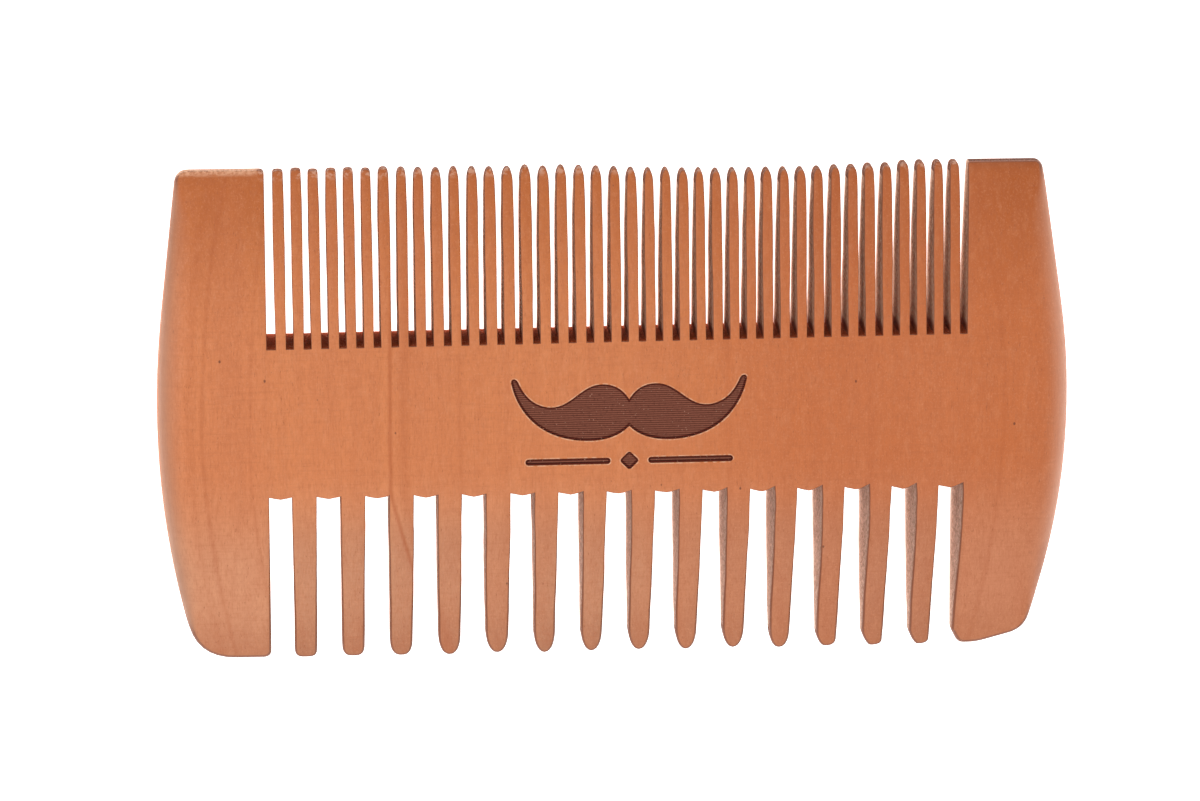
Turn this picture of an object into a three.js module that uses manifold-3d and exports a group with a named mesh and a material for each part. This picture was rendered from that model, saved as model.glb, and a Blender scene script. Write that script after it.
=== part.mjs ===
// A double-sided beard comb: fine teeth along one long edge, coarse teeth along the other.
//
// The real comb is sawn and sanded from a single board, with the grain running along the
// teeth.  Here that board is divided along flat planes into the spine, the two end guards
// and the teeth, so that every gap between two teeth is a gap between two solids.
//
// Frame, in millimetres: the comb lies on its back.  X runs along its length, +Y points to
// the fine teeth, +Z out of the front face.  The origin is on the back face, under the
// middle of the comb.

import * as THREE from 'three';
import { mergeVertices } from 'three/addons/utils/BufferGeometryUtils.js';
import Module from 'manifold-3d';

// ---- driving dimensions, mm ----------------------------------------------------------

const LENGTH = 100;               // across the bulging sides of the two guards
const WIDTH = 55.5;               // top left corner to bottom right corner
const THICKNESS = 8;              // of the spine

// The nearly level lines of the board: Y at the middle, and the rise for each mm to the right.
const TOP = { y: 27.5, slope: -0.0055 };
const FINE_ROOT = { y: 8.6, slope: 0.003 };
const COARSE_ROOT = { y: -8.3, slope: -0.0045 };
const BOTTOM = { y: -27.585, slope: -0.0042 };

// The nearly upright lines between the guards and the teeth: X at the top and at the bottom.
const LEFT_FIELD_END = { top: -37.8, bottom: -38.1 };
const RIGHT_FIELD_END = { top: 38.7, bottom: 37.65 };

// Each row is what is left between its slots.  The middles of the slots lie at
// middle + reach * k - drift * k^2 - stray * sin(pi k)^2, k running from -1 to 1: the pitch
// shrinks a little to the right, and the teeth halfway out stray to the left.  The tips sink
// by up to dip around X = DIP_X.
const FINE = {
  name: 'fine_tooth',
  count: 40,
  middle: 1.0,
  reach: 37.72,
  drift: 0.617,
  stray: 0.29,
  gap: 0.76,
  tipShrink: 0.04,
  nose: 1.1,
  dip: 0.65,
};
const COARSE = {
  name: 'coarse_tooth',
  count: 14,
  middle: 0.19,
  reach: 36.78,
  drift: 0.225,
  stray: 0,
  gap: 2.62,
  tipShrink: 0.14,
  nose: 1.3,
  dip: 0,
};
const DIP_X = 15;
const DIP_REACH = 18;

// The board's section across its width: flat in the middle, thinning towards each row.
// Between flatY and the tips the half thickness falls with t^bulge, t running from 0 to 1:
// in a straight line where bulge is 1, and on a full curve where it is more.  Over the last
// TIP_REACH it is drawn in further, at the edge by tipThin of itself.
const FINE_TAPER = { flatY: 5.5, tipHalf: 1.05, bulge: 1.0, tipThin: 0.5 };
const COARSE_TAPER = { flatY: -6.5, tipHalf: 0.85, bulge: 1.6, tipThin: 0 };
const TAPER_STEPS = 7;
const TIP_REACH = 3.5;

// The sides bulge on one wide arc, and run straight from STRAIGHT_Y to the top corners.
const LEFT_RADIUS = 98;
const RIGHT_RADIUS = 82;
const STRAIGHT_Y = 12;
const SIDE_STEPS = 12;
const EDGE_INSET = 0.9;           // the outer edges are rounded by this much in the face
const EDGE_DEPTH = 1.6;           // and by this much in the thickness
const EDGE_STEPS = 3;

const TOP_LEFT_CORNER = 1.9;      // corner radii of the outline
const TOP_RIGHT_CORNER = 1.5;
const LEFT_CORNER = 4.4;
const RIGHT_CORNER = 3.2;
const RIGHT_BEND = 10;
const RIGHT_BEND_X = 40.5;        // the lower edge of the right guard bends up from here
const RIGHT_CORNER_Y = -26.25;    // to this height at the corner
const GUARD_INNER_CORNER = 0.6;   // where a guard ends beside the outermost gaps

const SAW_MARGIN = 1;             // how far the dividing shapes stand past the board
const ARC_STEPS = 4;              // straight steps in each rounded corner or tooth nose

// ---- solids ---------------------------------------------------------------------------

const wasm = await Module();
wasm.setup();

function toSolid(geometry) {
  geometry.deleteAttribute('normal');
  geometry.deleteAttribute('uv');
  const merged = mergeVertices(geometry);
  return new wasm.Manifold(new wasm.Mesh({
    numProp: 3,
    vertProperties: Float32Array.from(merged.attributes.position.array),
    triVerts: Uint32Array.from(merged.index.array),
  }));
}

function toGeometry(solid) {
  const mesh = solid.getMesh();
  const geometry = new THREE.BufferGeometry();
  geometry.setAttribute('position', new THREE.BufferAttribute(mesh.vertProperties, 3));
  geometry.setIndex(new THREE.BufferAttribute(mesh.triVerts, 1));
  geometry.computeVertexNormals();
  return geometry;
}

// count + 1 evenly spaced values from first to last.
function steps(first, last, count) {
  return Array.from({ length: count + 1 }, (_, i) => first + (last - first) * i / count);
}

// A closed shape through corners [x, y, radius], each rounded with its own radius.
function roundedShape(corners) {
  const shape = new THREE.Shape();
  corners.forEach(([x, y, radius = 0], i) => {
    const here = new THREE.Vector2(x, y);
    const [fromX, fromY] = corners.at(i - 1);
    const [toX, toY] = corners[(i + 1) % corners.length];
    const back = new THREE.Vector2(fromX, fromY).sub(here).normalize();
    const ahead = new THREE.Vector2(toX, toY).sub(here).normalize();
    const reach = radius / Math.tan(Math.acos(back.dot(ahead)) / 2);
    const start = here.clone().addScaledVector(back, reach);
    const end = here.clone().addScaledVector(ahead, reach);
    if (i === 0) shape.moveTo(start.x, start.y);
    else shape.lineTo(start.x, start.y);
    if (radius > 0) shape.quadraticCurveTo(here.x, here.y, end.x, end.y);
  });
  return shape;
}

// ---- the board ------------------------------------------------------------------------

function halfThickness(y) {
  const taper = y > 0 ? FINE_TAPER : COARSE_TAPER;
  const span = WIDTH / 2 - Math.abs(taper.flatY);
  const t = Math.max(0, (Math.abs(y) - Math.abs(taper.flatY)) / span);
  const full = THICKNESS / 2 - (THICKNESS / 2 - taper.tipHalf) * t ** taper.bulge;
  const nearness = Math.max(0, 1 - (WIDTH / 2 - Math.abs(y)) / TIP_REACH);
  return full * (1 - taper.tipThin * nearness ** 2);
}

// The board's section in the YZ plane, swept along X.
function sectionSolid() {
  const stations = [COARSE_TAPER, FINE_TAPER].flatMap(({ flatY }) => {
    const edge = Math.sign(flatY) * WIDTH / 2;
    const nearTip = [0.7, 0.35].map((share) => edge - Math.sign(flatY) * share * TIP_REACH);
    return [...steps(flatY, edge, TAPER_STEPS), ...nearTip];
  });
  stations.sort((a, b) => a - b);
  const back = stations.map((y) => new THREE.Vector2(y, THICKNESS / 2 - halfThickness(y)));
  const front = stations.map((y) => new THREE.Vector2(y, THICKNESS / 2 + halfThickness(y)));
  const section = new THREE.Shape([...back, ...front.reverse()]);
  const length = LENGTH + 2 * SAW_MARGIN;
  const geometry = new THREE.ExtrudeGeometry(section, { depth: length, bevelEnabled: false });
  geometry.translate(0, 0, -length / 2);
  geometry.applyMatrix4(new THREE.Matrix4().makeBasis(
    new THREE.Vector3(0, 1, 0),
    new THREE.Vector3(0, 0, 1),
    new THREE.Vector3(1, 0, 0),
  ));
  return toSolid(geometry);
}

// How far a side of the given radius stands out from the middle at y.
function sideX(y, radius) {
  const straight = Math.min(y, STRAIGHT_Y);
  const slope = STRAIGHT_Y / radius;
  return LENGTH / 2 - straight ** 2 / (2 * radius) - (y - straight) * slope;
}

function lineY(line, x) {
  return line.y + line.slope * x;
}

// The outline in the XY plane, with its front and back edges rounded.
function outlineSolid() {
  const heights = steps(-WIDTH / 2, WIDTH / 2, SIDE_STEPS).slice(1, -1);
  const left = (y) => -sideX(y, LEFT_RADIUS);
  const right = (y) => sideX(y, RIGHT_RADIUS);
  const onLine = (line, x, radius) => [x, lineY(line, x), radius];
  const outline = roundedShape([
    onLine(BOTTOM, left(BOTTOM.y), LEFT_CORNER),
    onLine(BOTTOM, RIGHT_BEND_X, RIGHT_BEND),
    [right(RIGHT_CORNER_Y), RIGHT_CORNER_Y, RIGHT_CORNER],
    ...heights.map((y) => [right(y), y]),
    onLine(TOP, right(TOP.y), TOP_RIGHT_CORNER),
    onLine(TOP, left(TOP.y), TOP_LEFT_CORNER),
    ...heights.toReversed().map((y) => [left(y), y]),
  ]);
  const geometry = new THREE.ExtrudeGeometry(outline, {
    depth: THICKNESS - 2 * EDGE_DEPTH,
    curveSegments: ARC_STEPS,
    bevelThickness: EDGE_DEPTH,
    bevelSize: EDGE_INSET,
    bevelOffset: -EDGE_INSET,
    bevelSegments: EDGE_STEPS,
  });
  geometry.translate(0, 0, EDGE_DEPTH);
  return toSolid(geometry);
}

const board = outlineSolid().intersect(sectionSolid());

// The part of the board that lies inside a shape drawn in the XY plane.
function cutFromBoard(shape) {
  const depth = THICKNESS + 2 * SAW_MARGIN;
  const geometry = new THREE.ExtrudeGeometry(shape, {
    depth,
    bevelEnabled: false,
    curveSegments: ARC_STEPS,
  });
  geometry.translate(0, 0, -SAW_MARGIN);
  return toGeometry(board.intersect(toSolid(geometry)));
}

// ---- plan shapes of the sub-parts -----------------------------------------------------

// The point on a field end, level with line.
function fieldCorner(end, line) {
  const share = (line.y + WIDTH / 2) / WIDTH;
  const x = end.bottom + (end.top - end.bottom) * share;
  return [x, lineY(line, x)];
}

function spineShape() {
  return roundedShape([
    fieldCorner(LEFT_FIELD_END, COARSE_ROOT),
    fieldCorner(RIGHT_FIELD_END, COARSE_ROOT),
    fieldCorner(RIGHT_FIELD_END, FINE_ROOT),
    fieldCorner(LEFT_FIELD_END, FINE_ROOT),
  ]);
}

// side is 1 for the right guard and -1 for the left one.
function guardShape(side) {
  const end = side > 0 ? RIGHT_FIELD_END : LEFT_FIELD_END;
  const outer = side * (LENGTH / 2 + SAW_MARGIN);
  const corners = [
    [...fieldCorner(end, BOTTOM), GUARD_INNER_CORNER],
    [outer, lineY(BOTTOM, outer)],
    [outer, lineY(TOP, outer)],
    [...fieldCorner(end, TOP), GUARD_INNER_CORNER],
  ];
  return roundedShape(side > 0 ? corners : corners.reverse());
}

// The middle of slot number i, counted from 0 at the left.
function slotX(row, i) {
  const k = 2 * i / row.count - 1;
  const stray = row.stray * Math.sin(Math.PI * k) ** 2;
  return row.middle + row.reach * k - row.drift * k ** 2 - stray;
}

// A tooth between slots i and i + 1.  It stands on the line root and ends at the line tip.
function toothShape(row, i, root, tip) {
  const direction = Math.sign(root.y);
  const left = slotX(row, i) + row.gap / 2;
  const right = slotX(row, i + 1) - row.gap / 2;
  const x = (left + right) / 2;
  const shoulderHalf = (right - left - row.tipShrink) / 2;
  const dip = row.dip * Math.max(0, 1 - ((x - DIP_X) / DIP_REACH) ** 2);
  const shoulderY = lineY(tip, x) - direction * (row.nose + dip);
  const [from, to] = direction > 0 ? [left, right] : [right, left];
  const shape = new THREE.Shape();
  shape.moveTo(from, lineY(root, from));
  shape.lineTo(to, lineY(root, to));
  shape.lineTo(x + direction * shoulderHalf, shoulderY);
  const turn = direction > 0 ? 0 : Math.PI;
  shape.absellipse(x, shoulderY, shoulderHalf, row.nose, turn, turn + Math.PI);
  return shape;
}

// ---- the comb -------------------------------------------------------------------------

function wood(color, roughness) {
  return new THREE.MeshStandardMaterial({ color, roughness, metalness: 0 });
}

const comb = new THREE.Group();

function addPart(name, shape, material) {
  const mesh = new THREE.Mesh(cutFromBoard(shape), material);
  mesh.name = name;
  comb.add(mesh);
}

function addRow(row, root, tip, makeMaterial) {
  for (let i = 0; i < row.count; i += 1) {
    const label = String(i + 1).padStart(2, '0');
    addPart(`${row.name}_${label}`, toothShape(row, i, root, tip), makeMaterial());
  }
}

addPart('spine', spineShape(), wood('#ce7d54', 0.55));
addPart('guard_left', guardShape(-1), wood('#d08456', 0.55));
addPart('guard_right', guardShape(1), wood('#c77a50', 0.55));
addRow(FINE, FINE_ROOT, TOP, () => wood('#c57549', 0.6));
addRow(COARSE, COARSE_ROOT, BOTTOM, () => wood('#c87f60', 0.6));

export default comb;
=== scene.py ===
"""A double-sided wooden beard comb, lying on its back on a white studio table.

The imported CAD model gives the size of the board, the place of every tooth and the floors of
the slots.  This script builds the board again as one continuous, finely rounded mesh with a
shallow engraved moustache, and gives it its wood, its sawn slot walls and its scorched
slot floors.  All lengths are millimetres until a mesh, light or camera is made.
"""

import math
import random

import bpy
import numpy as np
from mathutils import Matrix, Vector, noise
from mathutils.geometry import delaunay_2d_cdt, interpolate_bezier


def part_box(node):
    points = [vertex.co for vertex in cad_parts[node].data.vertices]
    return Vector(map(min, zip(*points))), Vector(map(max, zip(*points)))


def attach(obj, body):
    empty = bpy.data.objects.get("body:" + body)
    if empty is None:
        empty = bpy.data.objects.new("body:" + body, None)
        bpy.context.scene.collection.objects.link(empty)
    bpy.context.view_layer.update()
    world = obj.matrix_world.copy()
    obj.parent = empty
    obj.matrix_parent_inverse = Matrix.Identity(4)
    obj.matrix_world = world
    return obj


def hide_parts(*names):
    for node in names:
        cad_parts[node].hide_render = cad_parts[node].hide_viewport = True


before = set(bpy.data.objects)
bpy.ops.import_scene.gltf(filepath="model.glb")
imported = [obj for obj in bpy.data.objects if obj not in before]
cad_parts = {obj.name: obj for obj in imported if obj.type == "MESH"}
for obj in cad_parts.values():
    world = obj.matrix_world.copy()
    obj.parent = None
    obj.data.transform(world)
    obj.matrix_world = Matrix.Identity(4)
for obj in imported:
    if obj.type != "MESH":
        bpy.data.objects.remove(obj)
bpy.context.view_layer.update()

MM = 0.001

# ---- sizes taken from the frame ---------------------------------------------------------


def box_mm(node):
    low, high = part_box(node)
    return low / MM, high / MM


def row_boxes(prefix):
    """Boxes of a row's teeth, from left to right."""
    names = sorted(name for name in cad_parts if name.startswith(prefix))
    return [box_mm(name) for name in names]


def line(x0, y0, x1, y1):
    """The straight line through two points, as a function."""
    slope = (y1 - y0) / (x1 - x0)
    return lambda x: y0 + slope * (x - x0)


def root_line(boxes, side):
    """The line of a row's slot floors, from its end teeth; side picks the box's low or high."""
    (x0, y0), (x1, y1) = [((b[0].x + b[1].x) / 2, b[side].y) for b in (boxes[0], boxes[-1])]
    return line(x0, y0, x1, y1)


SPINE_LOW, SPINE_HIGH = box_mm("spine")
LEFT_LOW, LEFT_HIGH = box_mm("guard_left")
RIGHT_LOW, RIGHT_HIGH = box_mm("guard_right")
FINE_TEETH = row_boxes("fine_tooth")
COARSE_TEETH = row_boxes("coarse_tooth")
HALF_LENGTH = RIGHT_HIGH.x
HALF_WIDTH = LEFT_HIGH.y
MIDDLE_Z = SPINE_HIGH.z / 2
HALF_FIELD = SPINE_HIGH.x
HIGHEST_X = -45.9                         # the highest point of the left guard

# The nearly level lines, as functions of X, and the field's nearly upright ends, of Y.
top_y = line(HIGHEST_X, LEFT_HIGH.y, RIGHT_LOW.x + 1, RIGHT_HIGH.y)
fine_root_y = root_line(FINE_TEETH, 0)
coarse_root_y = root_line(COARSE_TEETH, 1)
bottom_y = line(LEFT_HIGH.x, LEFT_LOW.y, RIGHT_LOW.x, RIGHT_LOW.y)
left_end_x = line(LEFT_HIGH.y, LEFT_HIGH.x, SPINE_LOW.y, SPINE_LOW.x)
right_end_x = line(SPINE_HIGH.y, SPINE_HIGH.x, RIGHT_LOW.y, RIGHT_LOW.x)

# ---- the board's form --------------------------------------------------------------------

FINE_FLAT = 5.2                           # the flat middle of the section ends here
COARSE_FLAT = -6.0
FINE_TIP_HALF = 1.05                      # half the thickness where each row's taper ends
COARSE_TIP_HALF = 0.84
COARSE_CURVE = 1.6                        # how the coarse taper is curved; 1 is straight
FINE_RISE = 0.2                           # added to FINE_TIP_HALF at the last fine teeth
FINE_RISE_FROM = 10.0                     # where along X it starts to be added
FINE_TIP_THIN = 0.52                      # share of its thickness that a fine tip loses again
TIP_REACH = 3.5                           # over this distance from the board's edge
CREASE_BLEND = 0.35                       # softens the crease between flat middle and taper

LEFT_RADIUS = 98.0                        # the wide arcs of the two sides
RIGHT_RADIUS = 82.0
SIDE_STRAIGHT = 12.0                      # above this the sides run straight
SIDE_POINTS = 30                          # parts into which a side is divided
# Radii of the guards' corners, at the outer sides and beside the teeth.
OUTER_CORNER = {"top left": 1.6, "low left": 5.4, "low right": 3.2, "top right": 1.0}
INNER_CORNER = {"top left": 0.6, "low left": 0.9, "top right": 0.35}
LOW_RIGHT_Y = -26.25                      # the low right corner stands above the bottom line
RIGHT_BEND = 7.0                          # radius and place of the wide bend beside it
RIGHT_BEND_X = 40.5
RIGHT_BEVEL_RUN = 0.8                     # the cut corner beside the last coarse slot
RIGHT_BEVEL_RISE = 1.6
RIGHT_BEVEL_CORNER = 1.1
RIGHT_SET_BACK = 0.15                     # of the right guard's wall, at the fine root line

SEED = 11
WIDTH_JITTER = 0.02                       # how far one tooth may differ from its box
LEAN_JITTER = 0.04
TIP_JITTER = 0.1
SWAY = {"fine": 0.05, "coarse": 0.07}     # how far the slot walls wander
SWELL = {"fine": 0.05, "coarse": 0.0}     # how far they bow out near the tip
SWELL_SKEW = 1.7
# Two noises make a wall wander: share, waves per millimetre, step for each wall, layer.
SWAY_NOISES = [(1.0, 0.22, 7.31, 0.5), (0.35, 0.9, 3.17, 4.5)]
CUSP = (0.22, 0.34)                       # least and greatest height of a coarse floor's cusp
CUSP_CURVE = 0.8
FLOOR_ROUGHNESS = 0.03

# How far edges are rounded across the face: from the corners to the middle of an outer side,
# and from the root to the tip of a tooth.
SIDE_ROUND = (0.55, 3.0)
FINE_ROUND = (0.09, 0.12)
COARSE_ROUND = (0.12, 0.36)
FINE_NOSE_ROUND = 0.11
TOP_END_ROUND = 0.15                      # along the tops of the guards
# And in depth.  SIDE_DEPTH, TOP_END_DEPTH and TOOTH_DEPTH_MOST are shares of half the
# thickness, SIDE_DEPTH_MOST is in millimetres, and TOOTH_DEPTH multiplies the rounding across.
SIDE_DEPTH = (0.75, 0.62)
SIDE_DEPTH_MOST = (0.7, 2.5)
TOP_END_DEPTH = 0.25
TOOTH_DEPTH = 1.3
TOOTH_DEPTH_MOST = 0.7
DRAFT = (0.12, 0.34)                      # lean of coarse walls, in the middle and at the right

WALL_STEP = 0.85                          # spacing of points along a slot wall
SIDE_STEP = 0.9                           # and along the outer sides
ON_WALL = 0.02                            # this close to a slot's line is on its wall
EDGE_RINGS = 6                            # rings of points across each rounded edge
NOSE_SAMPLES = 80                         # samples of a tooth's end before its even spacing
NOSE_STEPS = {"fine": 16, "coarse": 18}   # and its steps after it
FACE_STEP = 1.25                          # spacing of points inside the broad faces
SMOOTH_ANGLE = 38                         # degrees; sharper edges stay sharp in the shading

(SIDE_WALL, FINE_WALL, COARSE_WALL, FINE_FLOOR, COARSE_FLOOR, TIP, END_WALL) = range(7)
END_BAND = 0.7                            # a guard's walls this close to its ends: end grain

(FACE_MATERIAL, SAWN_MATERIAL, SCORCHED_MATERIAL, END_MATERIAL,
 ENGRAVED_MATERIAL, RIM_MATERIAL, LIP_MATERIAL) = range(7)
WALL_MATERIALS = {
    SIDE_WALL: FACE_MATERIAL,
    FINE_WALL: SAWN_MATERIAL,
    COARSE_WALL: SAWN_MATERIAL,
    FINE_FLOOR: SCORCHED_MATERIAL,
    COARSE_FLOOR: SAWN_MATERIAL,
    TIP: END_MATERIAL,
    END_WALL: END_MATERIAL,
}


def blend(a, b, t):
    return a + (b - a) * t


def smooth_step(low, high, value):
    t = min(1.0, max(0.0, (value - low) / (high - low)))
    return t * t * (3 - 2 * t)


def half_thickness(x, y):
    """Half the board's thickness: flat in the middle and thinning to each row."""
    if y > 0:
        t = max(0.0, y - FINE_FLAT) / (HALF_WIDTH - FINE_FLAT)
        tip = FINE_TIP_HALF + FINE_RISE * smooth_step(FINE_RISE_FROM, HALF_FIELD, x)
        wedge = blend(tip, MIDDLE_Z + CREASE_BLEND / 4, 1 - min(t, 1.0))
        short = max(CREASE_BLEND - abs(MIDDLE_Z - wedge), 0.0) / CREASE_BLEND
        near = max(0.0, 1 - (HALF_WIDTH - min(y, HALF_WIDTH)) / TIP_REACH)
        half = min(MIDDLE_Z, wedge) - short**2 * CREASE_BLEND / 4
        return half * (1 - FINE_TIP_THIN * near**2)
    t = max(0.0, COARSE_FLAT - y) / (HALF_WIDTH + COARSE_FLAT)
    return blend(MIDDLE_Z, COARSE_TIP_HALF, min(t, 1.0) ** COARSE_CURVE)


def side_x(y, radius):
    """How far a side of the given radius stands out from the middle at y."""
    straight = min(y, SIDE_STRAIGHT)
    slope = SIDE_STRAIGHT / radius
    return HALF_LENGTH - straight**2 / (2 * radius) - (y - straight) * slope


# ---- the outline, counterclockwise as seen from the front -------------------------------


def resampled(points, step):
    """The open polyline through points, with a point about every step."""
    made = []
    for a, b in zip(points, points[1:]):
        count = max(1, round((b - a).length / step))
        made += [a.lerp(b, i / count) for i in range(count)]
    return made + [points[-1]]


def rounded(corners, steps=7):
    """The open polyline through (x, y, radius) corners, rounded at each inner one.

    The rounding is a parabola that starts and ends where an arc of the radius would.
    """
    made = [Vector(corners[0][:2])]
    for before, here, after in zip(corners, corners[1:], corners[2:]):
        at = Vector(here[:2])
        back = (Vector(before[:2]) - at).normalized()
        ahead = (Vector(after[:2]) - at).normalized()
        if here[2] == 0:
            made.append(at)
            continue
        reach = here[2] / math.tan(back.angle(ahead) / 2)
        start, end = at + back * reach, at + ahead * reach
        for i in range(steps + 1):
            t = i / steps
            made.append(start.lerp(at, t).lerp(at.lerp(end, t), t))
    return made + [Vector(corners[-1][:2])]


def wavy_wall(start, end, sway, swell, seed):
    """Points along a slot wall, which wanders by about sway and bows by swell near the tip."""
    count = max(2, round((end - start).length / WALL_STEP))
    made = []
    for i in range(count + 1):
        t = i / count
        point = start.lerp(end, t)
        calm = min(1.0, 6 * t, 6 * (1 - t))
        out = t if abs(start.y) < abs(end.y) else 1 - t
        point.x += swell * math.sin(math.pi * out**SWELL_SKEW)
        for share, waves, step, layer in SWAY_NOISES:
            place = Vector((seed * step, point.y * waves, layer))
            point.x += share * sway * calm * noise.noise(place)
        made.append(point)
    return made


def nose(tip, across, shoulders, squareness, direction, steps):
    """A tooth's rounded end, drawn from one side to the other.

    across, shoulders and squareness each hold a number for the side where it starts and one
    for the side where it ends: how wide it is there, how far back the rounding reaches, and
    how square it is (1 is a straight chamfer, 2 an ellipse).
    """
    dense = []
    for i in range(NOSE_SAMPLES + 1):
        angle = math.pi * i / NOSE_SAMPLES
        late = angle > math.pi / 2
        power = 2 / squareness[late]
        sideways = abs(math.cos(angle)) ** power * across[late]
        back = (1 - abs(math.sin(angle)) ** power) * shoulders[late]
        dense.append(tip + direction * Vector((-sideways if late else sideways, -back)))
    return evenly(dense, steps)[1:-1]


def evenly(points, count):
    """count + 1 points, evenly spaced along the polyline through points."""
    run = [0.0]
    for a, b in zip(points, points[1:]):
        run.append(run[-1] + (b - a).length)
    wanted = np.linspace(0, run[-1], count + 1)
    xs, ys = (np.interp(wanted, run, [p[axis] for p in points]) for axis in (0, 1))
    return [Vector((x, y)) for x, y in zip(xs, ys)]


class ToothEnd:
    """The form of the tooth at share, from -1 to 1 along its row.

    shoulders and squareness hold the values of nose for its left and its right side, and peak
    is where its end reaches furthest, from 0 at the left to 1.  Towards its end the tooth loses
    shrink on each side and moves by lean along X, and its root is broader by broad at the
    right.
    """

    def __init__(self, row, share):
        inner = 1 - smooth_step(0.35, 0.95, abs(share))
        self.peak = 0.5
        if row == "fine":
            # The first teeth are nearly square.
            first = smooth_step(-0.5, -0.88, share)
            self.shoulders = [blend(blend(1.1, 1.6, inner), 0.62, first)] * 2
            self.squareness = [blend(blend(2.7, 2.1, inner), 3.3, first)] * 2
            self.shrink = blend(0.03, -0.01, first)
            self.lean = 0.0
            self.broad = 0.0
            return
        # The last teeth are bevelled at their left side.
        bevelled = smooth_step(0.45, 0.72, share)
        length = blend(1.2, 2.7, inner)
        self.shoulders = [blend(length, 1.75, bevelled), blend(length, 0.9, bevelled)]
        self.squareness = [blend(blend(3.2, 2.0, inner), 1.35, bevelled),
                           blend(blend(3.4, 2.2, inner), 3.0, bevelled)]
        self.peak = blend(0.5, 0.42, bevelled)
        self.shrink = blend(0.09, 0.15, smooth_step(-0.6, 0.8, share))
        self.lean = -0.16
        self.broad = 0.12 * smooth_step(-0.3, 0.1, share)


def slot_floor(start, end, direction, seed, cusp):
    """Points between the ends of a slot's floor, whose middle rises by cusp along direction."""
    count = 8 if cusp else 4
    made = []
    for i in range(1, count):
        t = i / count
        point = start.lerp(end, t)
        lift = cusp * (1 - abs(2 * t - 1)) ** CUSP_CURVE
        rough = FLOOR_ROUGHNESS * noise.noise(Vector((seed * 5.3, t * 4.0, 1.5)))
        point.y += direction * (lift + rough)
        made.append(point)
    return made


def tooth_row(boxes, row, direction, root_y, rng):
    """The teeth of a row, each as a list of (point, kind) round its end and its last point.

    The list starts at the root where the outline reaches the tooth; the last point is the
    root where it leaves it.
    """
    teeth = []
    sway, swell = SWAY[row], SWELL[row]
    wall = FINE_WALL if row == "fine" else COARSE_WALL
    for index, (low, high) in enumerate(boxes):
        middle = (low.x + high.x) / 2
        end = ToothEnd(row, middle / HALF_FIELD)
        half = (high.x - low.x) / 2 + rng.uniform(-WIDTH_JITTER, WIDTH_JITTER)
        tip_half = half - end.shrink + rng.uniform(-WIDTH_JITTER, WIDTH_JITTER)
        lean = end.lean + rng.uniform(-LEAN_JITTER, LEAN_JITTER)
        tip_y = (high.y if direction > 0 else low.y) + rng.uniform(-TIP_JITTER, TIP_JITTER)
        left = middle + lean - tip_half
        tip = Vector((left + 2 * tip_half * end.peak, tip_y))
        # Each pair holds the side drawn first, going out, and the one drawn last, coming back.
        sides = (direction, -direction)
        left_right = (1, 0) if direction > 0 else (0, 1)
        across = [2 * tip_half * (end.peak, 1 - end.peak)[i] for i in left_right]
        shoulders = [end.shoulders[i] for i in left_right]
        squareness = [end.squareness[i] for i in left_right]
        root_x = [middle + side * half + (end.broad if side > 0 else 0.0) for side in sides]
        roots = [Vector((x, root_y(x))) for x in root_x]
        necks = [Vector((tip.x + side * wide, tip_y - direction * back))
                 for side, wide, back in zip(sides, across, shoulders)]
        rise = wavy_wall(roots[0], necks[0], sway, sides[0] * swell, index * 2 + direction)
        fall = wavy_wall(necks[1], roots[1], sway, sides[1] * swell, index * 2 + 40)
        round_end = nose(tip, across, shoulders, squareness, direction, NOSE_STEPS[row])
        points = [(p, wall) for p in rise[:-1]] + [(rise[-1], TIP)]
        points += [(p, TIP) for p in round_end] + [(p, wall) for p in fall[:-1]]
        teeth.append((points, fall[-1]))
    return teeth


def slots(teeth, start, finish, row, rng):
    """Joins a row's teeth by its slot floors, from the corner start to the corner finish."""
    floor = FINE_FLOOR if row == "fine" else COARSE_FLOOR
    direction = 1 if row == "fine" else -1
    made = []
    corner = start
    for index in range(len(teeth) + 1):
        target = teeth[index][0][0][0] if index < len(teeth) else finish
        cusp = 0.0 if row == "fine" else rng.uniform(*CUSP)
        points = slot_floor(corner, target, direction, index + direction, cusp)
        made += [(corner, floor)] + [(p, floor) for p in points]
        if index < len(teeth):
            made += teeth[index][0]
            corner = teeth[index][1]
    return made


def field_corner(end_x, level_y):
    """Where an end of the field of teeth meets a nearly level line."""
    x = end_x(level_y(0))
    return Vector((x, level_y(x)))


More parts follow.
